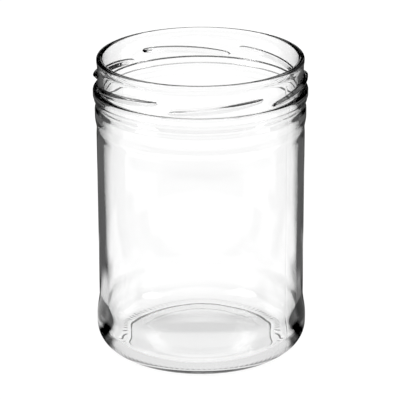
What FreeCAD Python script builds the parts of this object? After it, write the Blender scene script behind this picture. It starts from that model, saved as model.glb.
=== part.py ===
"""Straight-sided glass jar with a twist-off finish.

One moulded piece of clear glass: a ringed body with a recessed label panel, a push-up base on a
flat bearing ring, and a finish whose transfer bead carries six right-handed lugs.
Millimetres, +Z up, origin at the centre of the bearing ring on the surface the jar stands on.
The middle of the lug at FIRST_LUG faces -Y.
"""
import FreeCAD
import Part
import Sketcher
import math
import os

# Driving dimensions: alias, value, meaning.  Heights with "drop" are measured down from the rim.
DIMENSIONS = (
    ("height", 142.6, "bearing ring to sealing rim"),
    ("neck_radius", 47.85, "outside of the finish wall, between the lugs"),
    ("finish_wall", 2.5, "glass thickness in the finish"),
    ("rim_proud", 0.3, "rolled rim beyond the neck"),
    ("rim_flat", 0.4, "flat land on top of the rounded rim"),
    ("rim_height", 1.8, "rim to the lowest point where the rolled rim is at its widest"),
    ("rim_run_out", 1.4, "height over which the rolled rim falls back to the neck"),
    ("bead_drop", 14.7, "rim to the crease above the transfer bead"),
    ("bead_proud", 2.15, "transfer bead beyond the neck"),
    ("bead_slope", 0.7, "height of the rounded shoulder on top of the bead"),
    ("bead_height", 3.4, "crease to the parting line under the bead"),
    ("parting_depth", 0.4, "step where neck ring and blow mould meet"),
    ("skirt_height", 1.3, "straight part under the parting line"),
    ("waist_drop", 22.2, "rim to the narrowest point under the bead"),
    ("waist_proud", 0.7, "waist beyond the neck"),
    ("ring_drop", 24.8, "rim to the top of the shoulder ring"),
    ("ring_height", 3.4, "straight face of the shoulder ring"),
    ("ring_proud", 1.4, "shoulder ring beyond the neck"),
    ("groove_drop", 33.8, "rim to the bottom of the groove over the label panel"),
    ("groove_depth", 0.5, "groove below the label panel"),
    ("panel_drop", 35.8, "rim to the top of the label panel"),
    ("panel_proud", 0.8, "label panel beyond the neck"),
    ("panel_foot", 17.0, "bearing ring to the bottom of the label panel"),
    ("heel_top", 16.0, "bearing ring to the upper corner of the heel band"),
    ("heel_proud", 2.07, "heel band beyond the neck"),
    ("heel_radius", 11.0, "rounding of the heel"),
    ("bearing_width", 2.6, "flat ring that the jar stands on"),
    ("cove", 1.2, "rise of the underside between the bearing ring and the disc"),
    ("push_up", 2.4, "centre of the underside above the bearing ring"),
    ("disc_inset", 7.82, "bearing ring in to the raised disc in the middle of the underside"),
    ("disc_step", 0.15, "step round that disc"),
    ("wall", 3.0, "glass thickness in the body"),
    ("floor", 4.0, "glass thickness at the centre of the base"),
    ("floor_rise", 2.2, "centre of the floor above its edge"),
    ("corner_radius", 8.0, "rounding between floor and wall inside"),
    ("lug_proud", 1.95, "lug crest beyond the neck"),
    ("lug_half_height", 1.7, "half of the lug's height at its middle"),
    ("lug_start", 1.6, "centre of the lug's low end above the bead crease"),
    ("lug_rise", 3.9, "centre of the high end above the centre of the low end"),
    ("lug_span", 53.5, "angle round the neck that a lug covers, degrees"),
    ("lug_root", 0.8, "how deep a lug is rooted in the wall"),
    ("lug_foot", 0.2, "how deep in the wall the lug's flanks begin"),
    ("lug_slope_top", 0.25, "end of the sloping underside above the middle, share of half height"),
    ("lug_crest_top", 0.45, "upper edge of the crest above the middle, share of half height"),
)
LUG_COUNT = 6
FIRST_LUG = -17.5      # low end of the first lug, degrees round +Z from -Y
# Close together where the lug swells and dies out, so that the crest between them stays level.
LUG_STATIONS = (0.0, 0.05, 0.11, 0.2, 0.35, 0.5, 0.65, 0.8, 0.89, 0.95, 1.0)

NODE = "jar"


class Size:
    """A length known twice: as a number, and as the sheet expression that drives it."""

    def __init__(self, text, value):
        self.text, self.value = text, value

    def join(self, sign, other, value):
        return Size("(%s %s %s)" % (self.text, sign, as_size(other).text), value)

    def __add__(self, other):
        return self.join("+", other, self.value + as_size(other).value)

    def __sub__(self, other):
        return self.join("-", other, self.value - as_size(other).value)

    def __mul__(self, other):
        return self.join("*", other, self.value * as_size(other).value)

    def __truediv__(self, other):
        return self.join("/", other, self.value / as_size(other).value)


def as_size(number):
    return number if isinstance(number, Size) else Size("%.6g" % number, number)


def fill_sheet(doc):
    """Write the driving dimensions to a spreadsheet and return them by alias."""
    sheet = doc.addObject("Spreadsheet::Sheet", "Sizes")
    sizes = {}
    for row, (alias, value, meaning) in enumerate(DIMENSIONS, start=1):
        sheet.set("A%d" % row, meaning)
        sheet.set("B%d" % row, str(value))
        sheet.setAlias("B%d" % row, alias)
        sizes[alias] = Size("Sizes.%s" % alias, value)
    doc.recompute()
    return sizes


class Outline:
    """A closed outline drawn corner by corner, each corner tied to the sheet.

    x is the radius and y the height.  An arc is fixed by its two corners and by where it runs
    upright (along y) or level (along x): at its start or at its end.
    """

    START, END, CENTRE = 1, 2, 3

    def __init__(self, sketch, x, y):
        self.sketch = sketch
        self.first = self.here = (as_size(x), as_size(y))
        self.first_end = self.last_end = None

    def at(self, corner):
        return FreeCAD.Vector(corner[0].value, corner[1].value, 0)

    def line(self, x, y):
        corner = (as_size(x), as_size(y))
        index = self.sketch.addGeometry(Part.LineSegment(self.at(self.here), self.at(corner)))
        self.add(index, self.START, self.END, corner)

    def arc(self, x, y, runs, where):
        corner = (as_size(x), as_size(y))
        tail, head = self.at(self.here), self.at(corner)
        fixed, free = (tail, head) if where == "start" else (head, tail)
        across, along = free.x - fixed.x, free.y - fixed.y
        chord = across ** 2 + along ** 2
        if runs == "upright":
            centre = fixed + FreeCAD.Vector(chord / (2 * across), 0, 0)
        else:
            centre = fixed + FreeCAD.Vector(0, chord / (2 * along), 0)
        angles = [math.atan2(p.y - centre.y, p.x - centre.x) for p in (tail, head)]
        ends = [self.START, self.END]
        if (tail - centre).cross(head - centre).z < 0:
            angles.reverse()
            ends.reverse()
        circle = Part.Circle(centre, FreeCAD.Vector(0, 0, 1), (fixed - centre).Length)
        index = self.sketch.addGeometry(Part.ArcOfCircle(circle, *angles))
        self.add(index, ends[0], ends[1], corner)
        level_with = ends[0] if where == "start" else ends[1]
        kind = "Horizontal" if runs == "upright" else "Vertical"
        self.sketch.addConstraint(
            Sketcher.Constraint(kind, index, self.CENTRE, index, level_with))

    def ogee(self, x, y, runs):
        """An S of two equal arcs that runs upright, or level, at both ends."""
        x, y = as_size(x), as_size(y)
        middle = ((self.here[0] + x) / 2, (self.here[1] + y) / 2)
        self.arc(middle[0], middle[1], runs, "start")
        self.arc(x, y, runs, "end")

    def close(self):
        self.line(*self.first)
        self.sketch.addConstraint(Sketcher.Constraint("Coincident", *self.last_end, *self.first_end))

    def add(self, index, tail, head, corner):
        """Hang a new edge on the last one and tie its far end to the sheet."""
        if self.last_end is None:
            self.first_end = (index, tail)
        else:
            self.sketch.addConstraint(
                Sketcher.Constraint("Coincident", *self.last_end, index, tail))
        self.last_end, self.here = (index, head), corner
        for axis, kind, size in ((-2, "DistanceX", corner[0]), (-1, "DistanceY", corner[1])):
            if size.value == 0:
                self.sketch.addConstraint(
                    Sketcher.Constraint("PointOnObject", index, head, axis))
                continue
            number = self.sketch.addConstraint(
                Sketcher.Constraint(kind, -1, 1, index, head, size.value))
            self.sketch.setExpression("Constraints[%d]" % number, size.text)


def upright_sketch(body, name):
    """A sketch on the body's XZ plane: x is +X, y is +Z."""
    sketch = body.newObject("Sketcher::SketchObject", name)
    plane = next(p for p in body.Origin.OriginFeatures if p.Role == "XZ_Plane")
    sketch.AttachmentSupport = (plane, [""])
    sketch.MapMode = "FlatFace"
    return sketch


def draw_wall(sketch, size):
    """Half section of the glass, from the underside round the outside and down the bore."""
    neck = size["neck_radius"]
    panel = neck + size["panel_proud"]
    heel = neck + size["heel_proud"]
    ring = neck + size["ring_proud"]
    waist = neck + size["waist_proud"]
    skirt = neck + size["bead_proud"] - size["parting_depth"]
    bead = neck + size["bead_proud"]
    bore = neck - size["finish_wall"]
    top = size["height"]
    crease = top - size["bead_drop"]
    parting = crease - size["bead_height"]
    bearing_out = heel - size["heel_radius"]
    bearing_in = bearing_out - size["bearing_width"]
    disc = bearing_in - size["disc_inset"]
    rim = neck + size["rim_proud"]
    rim_round = (size["finish_wall"] + size["rim_proud"] - size["rim_flat"]) / 2

    glass = Outline(sketch, 0, size["push_up"])
    # Underside: shallow dome, step of the centre disc, and a shallow cove to the bearing ring.
    glass.arc(disc, size["cove"] + size["disc_step"], "level", "start")
    glass.line(disc + size["disc_step"] * 2, size["cove"])
    glass.arc(bearing_in, 0, "level", "start")
    glass.line(bearing_out, 0)
    # Heel with its crisp upper corner, label panel and shoulder ring.
    glass.arc(heel, size["heel_radius"], "level", "start")
    glass.line(heel, size["heel_top"])
    glass.line(panel, size["panel_foot"])
    glass.line(panel, top - size["panel_drop"])
    glass.ogee(panel - size["groove_depth"], top - size["groove_drop"], "upright")
    glass.ogee(ring, top - size["ring_drop"] - size["ring_height"], "upright")
    glass.line(ring, top - size["ring_drop"])
    glass.ogee(waist, top - size["waist_drop"], "upright")
    # Skirt, parting line and transfer bead.
    glass.ogee(skirt, parting - size["skirt_height"], "upright")
    glass.line(skirt, parting)
    glass.arc(bead, parting + size["parting_depth"], "upright", "end")
    glass.line(bead, crease - size["bead_slope"])
    glass.arc(neck, crease, "upright", "start")
    # Finish and its rounded sealing rim.
    glass.line(neck, top - size["rim_height"] - size["rim_run_out"])
    glass.ogee(rim, top - size["rim_height"], "upright")
    glass.line(rim, top - rim_round)
    glass.arc(rim - rim_round, top, "upright", "start")
    glass.line(bore + rim_round, top)
    glass.arc(bore, top - rim_round, "upright", "end")
    # Bore: straight in the finish, swelling behind the shoulder ring, straight in the body.
    glass.line(bore, parting - size["skirt_height"])
    glass.ogee(ring - size["wall"], top - size["ring_drop"], "upright")
    glass.line(ring - size["wall"], top - size["ring_drop"] - size["ring_height"])
    glass.ogee(panel - size["wall"], top - size["panel_drop"], "upright")
    floor_edge = size["push_up"] + size["floor"] - size["floor_rise"]
    glass.line(panel - size["wall"], floor_edge + size["corner_radius"])
    glass.arc(panel - size["wall"] - size["corner_radius"], floor_edge, "upright", "start")
    glass.ogee(0, size["push_up"] + size["floor"], "level")
    glass.close()


def draw_lug_section(sketch, size, station):
    """Section of a lug at a station from 0, its low end, to 1, its high end.

    The underside slopes gently, so that a lid slides on, and the top is steep.  The lug swells
    quickly to its full height and depth and dies out the same way, so its outline round the neck
    is a blunt leaf.
    """
    swell = (4 * station * (1 - station)) ** 0.35
    tip, sunk = 0.25, 0.05
    half = size["lug_half_height"] * (tip + (1 - tip) * swell)
    proud = size["lug_proud"] * (min(1.0, 1.4 * swell) * (1 + sunk) - sunk)
    middle = (size["height"] - size["bead_drop"] + size["lug_start"]
              + size["lug_rise"] * station)
    crest = size["neck_radius"] + proud
    foot = size["neck_radius"] - size["lug_foot"]
    root = size["neck_radius"] - size["lug_root"]
    lug = Outline(sketch, root, middle - half)
    lug.line(foot, middle - half)
    lug.line(crest, middle + half * size["lug_slope_top"])
    lug.line(crest, middle + half * size["lug_crest_top"])
    lug.line(foot, middle + half)
    lug.line(root, middle + half)
    lug.close()


def make_wall(body, size):
    sketch = upright_sketch(body, "WallOutline")
    draw_wall(sketch, size)
    wall = body.newObject("PartDesign::Revolution", "Wall")
    wall.Profile = sketch
    wall.ReferenceAxis = (sketch, ["V_Axis"])
    wall.Angle = 360
    return wall


def make_lug(body, size):
    """One lug: a loft through sections set round the neck."""
    sections = []
    for number, station in enumerate(LUG_STATIONS):
        sketch = upright_sketch(body, "LugSection%d" % number)
        draw_lug_section(sketch, size, station)
        turn = as_size(FIRST_LUG - 90) + size["lug_span"] * station
        sketch.AttachmentOffset = FreeCAD.Placement(
            FreeCAD.Vector(0, 0, 0), FreeCAD.Rotation(FreeCAD.Vector(0, 1, 0), turn.value))
        sketch.setExpression("AttachmentOffset.Rotation.Angle", turn.text)
        sections.append(sketch)
    lug = body.newObject("PartDesign::AdditiveLoft", "Lug")
    lug.Profile = sections[0]
    lug.Sections = sections[1:]
    return lug


def repeat_lug(body, lug):
    lugs = body.newObject("PartDesign::PolarPattern", "Lugs")
    lugs.Originals = [lug]
    z_axis = next(a for a in body.Origin.OriginFeatures if a.Role == "Z_Axis")
    lugs.Axis = (z_axis, [""])
    lugs.Angle = 360
    lugs.Occurrences = LUG_COUNT
    body.Tip = lugs


def check(doc, body):
    """Stop if a feature failed, a sketch is loose or the glass isn't one valid solid."""
    for item in doc.Objects:
        if "Invalid" in item.State or "Error" in item.State:
            raise RuntimeError("%s failed: %s" % (item.Name, item.State))
        if item.TypeId == "Sketcher::SketchObject" and not item.FullyConstrained:
            raise RuntimeError("%s is not fully constrained" % item.Name)
    shape = body.Shape
    if shape.isNull() or not shape.isValid() or len(shape.Solids) != 1:
        raise RuntimeError("%s is not one valid solid" % body.Label)


def main():
    doc = FreeCAD.newDocument("TwistOffJar")
    size = fill_sheet(doc)
    body = doc.addObject("PartDesign::Body", "Jar")
    body.Label = NODE
    body.Placement = FreeCAD.Placement()
    make_wall(body, size)
    lug = make_lug(body, size)
    repeat_lug(body, lug)
    doc.recompute()
    check(doc, body)
    os.makedirs("parts", exist_ok=True)
    body.Shape.exportStep("parts/%s.step" % body.Label)
    print("%s: glass %.1f cm3" % (body.Label, body.Shape.Volume / 1000))


main()
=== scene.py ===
"""Looks of the twist-off glass jar: clear flint glass on a white sweep.

The jar is one piece of glass.  Its wall section is drawn once, spun round the jar's axis, and then
the lugs, the knurls of the bearing ring, the mould seams and the waves of the blown bore are pressed
into the spun surface.  Metres, +Z up, origin at the centre of the bearing ring.
"""

import math

import bmesh
import bpy
from mathutils import Euler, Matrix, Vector, noise


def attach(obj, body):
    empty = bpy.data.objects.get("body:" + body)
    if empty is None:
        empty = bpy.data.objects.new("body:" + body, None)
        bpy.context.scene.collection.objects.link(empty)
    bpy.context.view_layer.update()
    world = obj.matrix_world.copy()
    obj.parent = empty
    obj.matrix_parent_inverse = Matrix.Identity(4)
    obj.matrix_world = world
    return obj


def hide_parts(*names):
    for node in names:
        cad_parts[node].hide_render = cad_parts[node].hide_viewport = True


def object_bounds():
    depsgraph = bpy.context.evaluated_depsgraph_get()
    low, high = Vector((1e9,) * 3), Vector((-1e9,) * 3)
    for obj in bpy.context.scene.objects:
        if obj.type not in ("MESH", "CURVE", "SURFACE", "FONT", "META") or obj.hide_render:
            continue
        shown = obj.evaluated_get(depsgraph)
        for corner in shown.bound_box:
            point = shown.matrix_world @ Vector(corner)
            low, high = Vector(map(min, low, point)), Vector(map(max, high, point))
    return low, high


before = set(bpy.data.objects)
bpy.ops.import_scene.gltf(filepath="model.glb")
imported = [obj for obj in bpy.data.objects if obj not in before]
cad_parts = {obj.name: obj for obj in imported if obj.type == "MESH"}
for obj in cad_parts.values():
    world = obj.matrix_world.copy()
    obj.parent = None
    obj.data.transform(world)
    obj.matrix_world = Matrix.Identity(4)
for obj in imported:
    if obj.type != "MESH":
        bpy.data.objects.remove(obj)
cad_low, cad_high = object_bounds()

MM = 0.001
HEIGHT = cad_high.z
BEAD = cad_high.x - 0.002 * MM    # the transfer bead is the widest ring of the jar
NECK = BEAD - 2.15 * MM           # outside of the finish, between the lugs
BORE = NECK - 2.5 * MM
RIM = NECK + 0.3 * MM             # rolled rim
RIM_FOOT = HEIGHT - 1.8 * MM
RIM_ROUND = 1.2 * MM

CREASE = HEIGHT - 14.7 * MM       # foot of the finish, on top of the bead
CREASE_FILLET = 0.5 * MM          # between the top of the bead and the neck
BEAD_ROUND = 1.1 * MM             # height of the bead's rounded shoulder
PARTING = CREASE - 3.4 * MM       # where neck ring and blow mould meet
NOTCH_DEPTH = 0.35 * MM           # undercut of the parting line
NOTCH_HEIGHT = 0.45 * MM
SKIRT = BEAD - 0.4 * MM
SKIRT_FOOT = PARTING - 1.3 * MM
WAIST = NECK + 0.7 * MM
WAIST_LEVEL = HEIGHT - 22.2 * MM
RING = NECK + 1.4 * MM            # shoulder ring
RING_TOP = HEIGHT - 24.8 * MM
RING_FOOT = RING_TOP - 3.4 * MM
PANEL = NECK + 0.8 * MM           # label panel
PANEL_TOP = HEIGHT - 37.0 * MM
PANEL_FOOT = 25.5 * MM
GROOVE = PANEL - 0.15 * MM        # shallow groove between the shoulder ring and the panel
GROOVE_LEVEL = HEIGHT - 33.8 * MM
HEEL = NECK + 2.07 * MM
HEEL_TOP = 14.5 * MM              # a gentle slope runs from here to the foot of the panel
HEEL_ROUND = 11.0 * MM
BEARING_OUT = HEEL - HEEL_ROUND
BEARING_IN = BEARING_OUT - 2.6 * MM
COVE = 0.45 * MM                  # rise of the underside inside the bearing ring
PUSH_UP = 1.1 * MM                # height of the underside in the middle
DISC = 28.5 * MM                  # raised disc in the middle of the underside
DISC_STEP = 0.05 * MM
DISC_SLOPE = 0.3 * MM
FLOOR = 6.4 * MM                  # inside level in the middle, and at the edge
FLOOR_EDGE = FLOOR - 2.2 * MM
CORNER = 8.0 * MM                 # radius between the floor and the bore
BODY_BORE = PANEL - 3.0 * MM
SOFT = 0.08 * MM                  # softened corner of a crisp edge

LUG_COUNT = 6
FIRST_LUG = math.radians(-17.5)   # low end of a lug, counted from -Y towards +X
LUG_SPAN = math.radians(53.5)
LUG_START = 1.6 * MM              # middle of the lug's low end above the crease
LUG_RISE = 3.9 * MM
LUG_HALF = 1.7 * MM               # half the height of the ridge in the middle of the lug
LUG_END = 0.25                    # share of that half height left at the ends
LUG_FULLNESS = 0.35               # small: the lug is full early; large: it swells slowly
LUG_PROUD = 1.95 * MM
LUG_DEPTH_GAIN = 1.4              # above 1, so that all but the ends has the full depth
LUG_CREST = (0.25, 0.45)          # flat of the ridge, from -1 at its lower to 1 at its upper foot
LUG_BAND = (0.55 * MM, 10.4 * MM)  # stretch above the crease that the lugs bend
BAND_EDGE = 0.15                  # share of the band's rings that spread below and above a lug

KNURLS = 100                      # short radial grooves over the bearing ring's outer edge
KNURL_DEPTH = 0.26 * MM
KNURL_BAND = (38.0 * MM, 42.2 * MM)
KNURL_TOP = 1.0 * MM              # nothing above this level is grooved
KNURL_RUN_OUT = 0.8 * MM
SEAMS = (math.radians(54), math.radians(-126))   # mould seams, counted from -Y towards +X
SEAM_PROUD = 0.03 * MM
SEAM_HALF = math.radians(0.4)     # half the width of the ridge
SEAM_REACH = math.radians(3.0)    # stretch on either side whose points crowd towards the ridge
BORE_WAVES = ((22 * MM, 0.14 * MM), (9 * MM, 0.04 * MM))   # length and depth
BORE_STRETCH = 0.6                # the waves are drawn out along the jar's axis
BORE_CALM = 6                     # rings at each end over which the waves die away
ROUND_STEPS = 4 * KNURLS

# White patches of light which only mirrored light sees.  The floor patches are painted reflections:
# glow painted on the sweep from one distance to another.  The wall patches are the world's light,
# which stands from one lift above the horizon to another, in degrees.  Then come the angles from +Y,
# to either side, between which they reach, in degrees, and the brightness.  The left patches are
# painted reflections that lie on the -X side of the sweep only.
# painted reflections: patches of glow painted on the sweep, seen only in the glass
FLOOR_PAINTED_REFLECTIONS = (
    (-1, 0.06, -9, 24, 0.9),
    (-1, 0.06, 24, 60, 0.5),
    (0.05, 0.12, 52, 80, 0.2),
    (-1, 0.06, 108, 190, 0.8),
    (0.06, 0.15, -9, 32, 0.8),
    (0.06, 0.10, 97, 190, 0.9),
    (0.10, 0.15, 75, 115, 0.9),
    (0.10, 0.15, 115, 190, 0.15),
    (0.15, 0.26, -9, 22, 0.4),
    (0.15, 0.32, 62, 190, 0.95),
    (0.32, 0.40, 62, 100, 0.8),
    (0.32, 0.40, 100, 190, 0.3),
    (0.40, 0.60, 66, 190, 0.95),
    (0.10, 0.60, 20, 62, 0.12),
)
# painted reflections: more glow painted on the -X side of the sweep
LEFT_PAINTED_REFLECTIONS = (
    (0.05, 0.12, 52, 80, 0.55),
)
WALL_CARDS = (
    (-9, 14, -9, 7, 1.0),
    (32, 99, -9, 190, 1.0),
)
FLOOR_BLUR, LIFT_BLUR, TURN_BLUR = 0.02, 4, 6    # soft edges of the painted floor patches and of the world's light patches
SECOND_LOSS = 0.6                 # share of the light painted on the sweep that is taken away when mirrored again, a painted shade


class Section:
    """A half section drawn point by point, radius first, then height."""

    def __init__(self, radius, height):
        self.points = [(radius, height)]
        self.marks = {}

    def mark(self, name):
        self.marks[name] = len(self.points) - 1

    def line(self, radius, height, steps=1):
        r0, z0 = self.points[-1]
        for step in range(1, steps + 1):
            share = step / steps
            self.points.append((r0 + (radius - r0) * share, z0 + (height - z0) * share))

    def crisp(self, corner, ahead):
        """Draw up to a corner softened over SOFT only, and on towards the point ahead."""
        corner, ahead, behind = Vector(corner), Vector(ahead), Vector(self.points[-1])
        back, on = (behind - corner).normalized() * SOFT, (ahead - corner).normalized() * SOFT
        for place in (corner + 2 * back, corner + back, corner + on, corner + 2 * on):
            self.points.append(tuple(place))

    def quarter(self, radius, height, upright, steps=8):
        """A quarter of an ellipse, which leaves upright or level and arrives the other way."""
        r0, z0 = self.points[-1]
        for step in range(1, steps + 1):
            turn = math.pi / 2 * step / steps
            slow, fast = 1 - math.cos(turn), math.sin(turn)
            along_r, along_z = (slow, fast) if upright else (fast, slow)
            self.points.append((r0 + (radius - r0) * along_r, z0 + (height - z0) * along_z))

    def bowl(self, radius, height, steps=8):
        """A shallow curve that leaves level and grows steadily steeper."""
        r0, z0 = self.points[-1]
        for step in range(1, steps + 1):
            share = step / steps
            self.points.append((r0 + (radius - r0) * share, z0 + (height - z0) * share ** 2))

    def ogee(self, radius, height, upright=True, steps=10):
        """A smooth S that leaves and arrives upright, or level."""
        r0, z0 = self.points[-1]
        for step in range(1, steps + 1):
            share = step / steps
            eased = share * share * (3 - 2 * share)
            along_r, along_z = (eased, share) if upright else (share, eased)
            self.points.append((r0 + (radius - r0) * along_r, z0 + (height - z0) * along_z))


def wall_section():
    """The glass from the centre of the underside, up the outside and down the bore."""
    glass = Section(0, PUSH_UP)
    glass.bowl(DISC, COVE + DISC_STEP, steps=6)
    glass.line(DISC + DISC_SLOPE, COVE, 2)
    glass.line(BEARING_IN - COVE, COVE, 4)
    glass.line(BEARING_IN, 0, 2)
    glass.line(BEARING_OUT, 0, 6)
    glass.mark("heel")
    glass.quarter(HEEL, HEEL_ROUND, upright=False, steps=20)
    glass.line(HEEL, HEEL_TOP, 3)
    glass.ogee(PANEL, PANEL_FOOT, steps=14)
    glass.line(PANEL, PANEL_TOP, 14)
    glass.ogee(GROOVE, GROOVE_LEVEL, steps=6)
    glass.ogee(RING, RING_FOOT, steps=8)
    glass.line(RING, RING_TOP, 3)
    glass.ogee(WAIST, WAIST_LEVEL, steps=6)
    glass.ogee(SKIRT, SKIRT_FOOT, steps=7)
    glass.line(SKIRT, PARTING - NOTCH_HEIGHT, 2)
    glass.line(SKIRT - NOTCH_DEPTH, PARTING, 2)
    glass.crisp((BEAD, PARTING), (BEAD, CREASE))
    glass.line(BEAD, CREASE - BEAD_ROUND, 2)
    glass.quarter(NECK + CREASE_FILLET, CREASE, upright=True, steps=9)
    glass.quarter(NECK, CREASE + CREASE_FILLET, upright=False, steps=5)
    glass.line(NECK, CREASE + LUG_BAND[0], 1)
    glass.mark("lugs_from")
    glass.line(NECK, CREASE + LUG_BAND[1], 36)
    glass.mark("lugs_to")
    glass.ogee(RIM, RIM_FOOT, steps=4)
    glass.line(RIM, HEIGHT - RIM_ROUND, 1)
    glass.quarter(RIM - RIM_ROUND, HEIGHT, upright=True, steps=7)
    glass.line(BORE + RIM_ROUND, HEIGHT, 1)
    glass.quarter(BORE, HEIGHT - RIM_ROUND, upright=False, steps=7)
    glass.mark("bore_from")
    glass.line(BORE, SKIRT_FOOT, 8)
    glass.ogee(BODY_BORE, RING_FOOT, steps=12)
    glass.line(BODY_BORE, FLOOR_EDGE + CORNER, 22)
    glass.quarter(BODY_BORE - CORNER, FLOOR_EDGE, upright=True, steps=12)
    glass.mark("bore_to")
    glass.ogee(0, FLOOR, upright=False, steps=10)
    return glass


def spin_section(section):
    """Spin the section into a closed surface; each ring keeps its number in the section."""
    bm = bmesh.new()
    ring = bm.verts.layers.int.new("ring")
    verts = []
    for number, (radius, height) in enumerate(section.points):
        vert = bm.verts.new((0, -radius, height))
        vert[ring] = number
        verts.append(vert)
    edges = [bm.edges.new(pair) for pair in zip(verts, verts[1:])]
    bmesh.ops.spin(bm, geom=verts + edges, cent=(0, 0, 0), axis=(0, 0, 1),
                   angle=2 * math.pi, steps=ROUND_STEPS, use_merge=True, use_duplicate=False)
    bmesh.ops.remove_doubles(bm, verts=bm.verts, dist=1e-7)
    bmesh.ops.recalc_face_normals(bm, faces=bm.faces)
    return bm, ring


def smooth(low, high, value):
    """0 below low, 1 above high, eased between."""
    share = min(1.0, max(0.0, (value - low) / (high - low)))
    return share * share * (3 - 2 * share)


def lug_at(angle):
    """Centre height, half height and depth of the lug ridge at an angle round the neck."""
    pitch = 2 * math.pi / LUG_COUNT
    along = ((angle - FIRST_LUG) % pitch) / LUG_SPAN
    gap = pitch / LUG_SPAN - 1
    if along > 1:
        back = smooth(0, 1, (along - 1) / gap)
        return LUG_START + LUG_RISE * (1 - back), LUG_END * LUG_HALF, 0.0
    swell = (4 * along * (1 - along)) ** LUG_FULLNESS
    half = LUG_HALF * (LUG_END + (1 - LUG_END) * swell)
    return LUG_START + LUG_RISE * along, half, LUG_PROUD * min(1.0, LUG_DEPTH_GAIN * swell)


def ridge(across):
    """Share of the lug's depth, from its lower foot at -1 to its upper foot at 1.

    The ridge slopes gently below its crest and steeply above it.
    """
    crest_from, crest_to = LUG_CREST
    slope = min(1.0, max(0.0, (across + 1) / (crest_from + 1)))
    return slope * (1 - smooth(crest_to, 1.0, across))


def press_lugs(bm, ring, section):
    """Bend the rings of the lug band along each lug and raise the ridge out of the neck."""
    first, last = section.marks["lugs_from"], section.marks["lugs_to"]
    low, high = LUG_BAND
    for vert in bm.verts:
        if not first < vert[ring] < last:
            continue
        share = (vert[ring] - first) / (last - first)
        centre, half, proud = lug_at(math.atan2(vert.co.x, -vert.co.y))
        if share < BAND_EDGE:
            height, across = low + (centre - half - low) * share / BAND_EDGE, 1.0
        elif share > 1 - BAND_EDGE:
            height, across = high + (centre + half - high) * (1 - share) / BAND_EDGE, 1.0
        else:
            across = (share - 0.5) / (0.5 - BAND_EDGE)
            height = centre + half * across
        move(vert, NECK + proud * ridge(across), CREASE + height)


def move(vert, radius, height):
    """Put a point of the glass at another radius and height, at the same angle."""
    scale = radius / math.hypot(vert.co.x, vert.co.y)
    vert.co = (vert.co.x * scale, vert.co.y * scale, height)


def press_knurls(bm):
    """Press short radial grooves over the outer edge of the bearing ring."""
    inner, outer = KNURL_BAND
    for vert in bm.verts:
        radius = math.hypot(vert.co.x, vert.co.y)
        if vert.co.z > KNURL_TOP or not inner < radius < outer:
            continue
        ends = smooth(0, KNURL_RUN_OUT, min(radius - inner, outer - radius))
        turn = math.atan2(vert.co.x, -vert.co.y) * KNURLS
        vert.co.z += KNURL_DEPTH * ends * (0.5 - 0.5 * math.cos(turn))


def press_seams(bm, ring, section):
    """Raise the two hairline ridges left where the halves of the blow mould met."""
    first, last = section.marks["heel"], section.marks["lugs_to"]
    for vert in bm.verts:
        if not first < vert[ring] < last:
            continue
        angle = math.atan2(vert.co.x, -vert.co.y)
        for seam in SEAMS:
            off = angle - seam
            if abs(off) >= SEAM_REACH:
                continue
            radius = math.hypot(vert.co.x, vert.co.y)
            turn = seam + math.copysign(off * off / SEAM_REACH, off)
            if abs(off) < SEAM_HALF:
                radius += SEAM_PROUD
            vert.co.x, vert.co.y = radius * math.sin(turn), -radius * math.cos(turn)


def press_bore(bm, ring, section):
    """Give the blown bore, which no mould touches, its slight waves."""
    first, last = section.marks["bore_from"], section.marks["bore_to"]
    for vert in bm.verts:
        if not first < vert[ring] < last:
            continue
        ends = min(vert[ring] - first, last - vert[ring]) / BORE_CALM
        place = Vector((vert.co.x, vert.co.y, vert.co.z * BORE_STRETCH))
        wave = sum(depth * noise.noise(place / length) for length, depth in BORE_WAVES)
        radius = math.hypot(vert.co.x, vert.co.y)
        move(vert, radius + wave * smooth(0, 1, ends), vert.co.z)


def make_jar():
    section = wall_section()
    bm, ring = spin_section(section)
    press_lugs(bm, ring, section)
    press_knurls(bm)
    press_seams(bm, ring, section)
    press_bore(bm, ring, section)
    for face in bm.faces:
        face.smooth = True
    mesh = bpy.data.meshes.new("glass_jar")
    bm.to_mesh(mesh)
    bm.free()
    jar = bpy.data.objects.new("glass_jar", mesh)
    bpy.context.scene.collection.objects.link(jar)
    return jar


class Nodes:
    """Adds nodes to one node tree; an input is given by its name, or by its number after a _."""

    def __init__(self, tree):
        self.tree = tree
        tree.nodes.clear()

    def add(self, kind, settings=None, **inputs):
        node = self.tree.nodes.new(kind)
        for name, value in (settings or {}).items():
            setattr(node, name, value)
        for name, value in inputs.items():
            label = name.replace("_", " ")
            self.feed(node.inputs[label if label in node.inputs else int(name[1:])], value)
        return node

    def feed(self, socket, value):
        if isinstance(value, Value):
            self.tree.links.new(value.socket, socket)
        elif isinstance(value, bpy.types.NodeSocket):
            self.tree.links.new(value, socket)
        else:
            socket.default_value = value

    def value(self, node, output):
        return Value(self, node.outputs[output])

    def maths(self, operation, first, second=0.0):
        node = self.add("ShaderNodeMath", {"operation": operation}, _0=first, _1=second)
        return self.value(node, 0)


class Value:
    """A number socket that can be used in sums."""

    def __init__(self, nodes, socket):
        self.nodes, self.socket = nodes, socket

    def __add__(self, other):
        return self.nodes.maths("ADD", self, other)

    __radd__ = __add__

    def __mul__(self, other):
        return self.nodes.maths("MULTIPLY", self, other)

    __rmul__ = __mul__

    def __sub__(self, other):
        return self.nodes.maths("SUBTRACT", self, other)

    def __rsub__(self, other):
        return self.nodes.maths("SUBTRACT", other, self)

    def __gt__(self, other):
        return self.nodes.maths("GREATER_THAN", self, other)

    def past(self, edge, blur):
        """0 below an edge, 1 above it and a ramp as wide as the blur between."""
        share = (self - (edge - blur / 2)) * (1 / blur)
        share.socket.node.use_clamp = True
        return share


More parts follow.
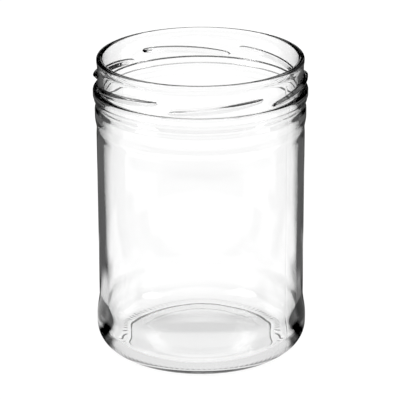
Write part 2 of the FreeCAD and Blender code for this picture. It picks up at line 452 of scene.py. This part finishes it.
def glass_material():
    """Clear flint glass with a faint orange-peel surface and a trace of handling marks."""
    material = bpy.data.materials.new("clear_glass")
    material.use_nodes = True
    nodes = Nodes(material.node_tree)
    place = nodes.add("ShaderNodeTexCoord")
    grain = nodes.add("ShaderNodeTexNoise", Vector=place.outputs["Object"], Scale=60.0, Detail=2.0)
    bump = nodes.add("ShaderNodeBump", Strength=0.02, Distance=0.001, Height=grain.outputs[0])
    touch = nodes.add("ShaderNodeTexNoise", Vector=place.outputs["Object"], Scale=35.0, Detail=3.0)
    smear = nodes.value(touch, 0)
    glass = nodes.add("ShaderNodeBsdfPrincipled", Base_Color=(1, 1, 1, 1),
                      Roughness=smear * smear * smear * 0.06,
                      IOR=1.52, Transmission_Weight=1.0, Normal=bump.outputs[0])
    haze = nodes.add("ShaderNodeVolumeAbsorption", Color=(0.80, 0.88, 0.85, 1), Density=2.0)
    nodes.add("ShaderNodeOutputMaterial", Surface=glass.outputs[0], Volume=haze.outputs[0])
    return material


def mirrored(nodes, times):
    """1 for light that the glass has mirrored so many times on its way, 0 for the rest."""
    path = nodes.add("ShaderNodeLightPath")
    return nodes.value(path, "Glossy Depth") > times - 0.5


def turn_from_back(nodes, x, y):
    """Angle from +Y to either side, in degrees."""
    return nodes.maths("ABSOLUTE", nodes.maths("ARCTAN2", x, y)) * (180 / math.pi)


def light_patches(out, turn, table, blur):
    """Light of a table of soft-edged patches at a distance, or lift, and an angle: glow painted on
    the sweep, or the world's light.
    """
    light = 0
    for nearest, farthest, turn_from, turn_to, strength in table:
        card = out.past(nearest, blur) * (1 - out.past(farthest, blur))
        card *= turn.past(turn_from, TURN_BLUR) * (1 - turn.past(turn_to, TURN_BLUR))
        light += card * strength
    return light


def sweep_material():
    """White sweep that keeps a soft shadow; in mirrored light it is black with white patches of
    painted glow, painted reflections for the glass.
    """
    material = bpy.data.materials.new("white_sweep")
    material.use_nodes = True
    nodes = Nodes(material.node_tree)
    paper = nodes.add("ShaderNodeBsdfDiffuse", Color=(0.12, 0.12, 0.12, 1))
    glow = nodes.add("ShaderNodeEmission", Strength=0.92)
    white = nodes.add("ShaderNodeAddShader", _0=paper.outputs[0], _1=glow.outputs[0])
    place = nodes.add("ShaderNodeTexCoord")
    parts = nodes.add("ShaderNodeSeparateXYZ", Vector=place.outputs["Object"])
    x, y = (nodes.value(parts, axis) for axis in "XY")
    out = nodes.maths("SQRT", x * x + y * y)
    turn = turn_from_back(nodes, x, y)
    on_the_left = 0 - x > 0
    # painted reflections: the sweep glows in patches that only mirrored light sees, and is black
    # between them
    light = light_patches(out, turn, FLOOR_PAINTED_REFLECTIONS, FLOOR_BLUR)
    light += on_the_left * light_patches(out, turn, LEFT_PAINTED_REFLECTIONS, FLOOR_BLUR)
    # painted shade: the painted glow is dimmed where the glass mirrors it twice
    light *= 1 - SECOND_LOSS * mirrored(nodes, 2)
    table = nodes.add("ShaderNodeEmission", Strength=light)
    both = nodes.add("ShaderNodeMixShader", _0=mirrored(nodes, 1), _1=white.outputs[0],
                     _2=table.outputs[0])
    nodes.add("ShaderNodeOutputMaterial", Surface=both.outputs[0])
    return material


def studio_world():
    """White all round; in mirrored light a narrow window behind and a bright ceiling on black."""
    world = bpy.data.worlds.new("studio")
    world.use_nodes = True
    bpy.context.scene.world = world
    nodes = Nodes(world.node_tree)
    look = nodes.add("ShaderNodeTexCoord")
    parts = nodes.add("ShaderNodeSeparateXYZ", Vector=look.outputs["Generated"])
    x, y, z = (nodes.value(parts, axis) for axis in "XYZ")
    lift = nodes.maths("ARCSINE", z) * (180 / math.pi)
    studio = light_patches(lift, turn_from_back(nodes, x, y), WALL_CARDS, LIFT_BLUR)
    seen = mirrored(nodes, 1)
    light = nodes.add("ShaderNodeBackground", Color=(1, 1, 1, 1),
                      Strength=1 - seen + seen * studio)
    nodes.add("ShaderNodeOutputWorld", Surface=light.outputs[0])


def make_sweep():
    bm = bmesh.new()
    bmesh.ops.create_grid(bm, x_segments=2, y_segments=2, size=8.0)
    mesh = bpy.data.meshes.new("sweep")
    bm.to_mesh(mesh)
    bm.free()
    sweep = bpy.data.objects.new("sweep", mesh)
    sweep.data.materials.append(sweep_material())
    bpy.context.scene.collection.objects.link(sweep)


def make_lamp(name, place, size, power):
    data = bpy.data.lights.new(name, "AREA")
    data.shape, data.size, data.size_y, data.energy = "RECTANGLE", size[0], size[1], power
    lamp = bpy.data.objects.new(name, data)
    lamp.location = place
    lamp.rotation_euler = (Vector((0, 0, HEIGHT / 2)) - lamp.location).to_track_quat(
        "-Z", "Y").to_euler()
    bpy.context.scene.collection.objects.link(lamp)


def make_camera():
    data = bpy.data.cameras.new("camera")
    data.lens = 205.2
    camera = bpy.data.objects.new("camera", data)
    pitch, distance = math.radians(20.534), 1.07774
    target = Vector((-0.00042, 0, 0.071271))
    camera.location = target + distance * Vector((0, -math.cos(pitch), math.sin(pitch)))
    look = (target - camera.location).to_track_quat("-Z", "Y")
    roll = Euler((0, 0, math.radians(-0.2))).to_quaternion()
    camera.rotation_mode = "QUATERNION"
    camera.rotation_quaternion = look @ roll
    bpy.context.scene.collection.objects.link(camera)
    bpy.context.scene.camera = camera


bpy.context.scene.view_settings.view_transform = "Standard"
make_camera()
studio_world()
make_sweep()
make_lamp("left_softbox", (-0.9, -0.5, 0.7), (0.5, 0.8), 6.0)
make_lamp("right_softbox", (0.9, -0.3, 0.6), (0.25, 0.8), 3.0)

jar = make_jar()
jar.data.materials.append(glass_material())
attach(jar, "root")
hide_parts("jar")
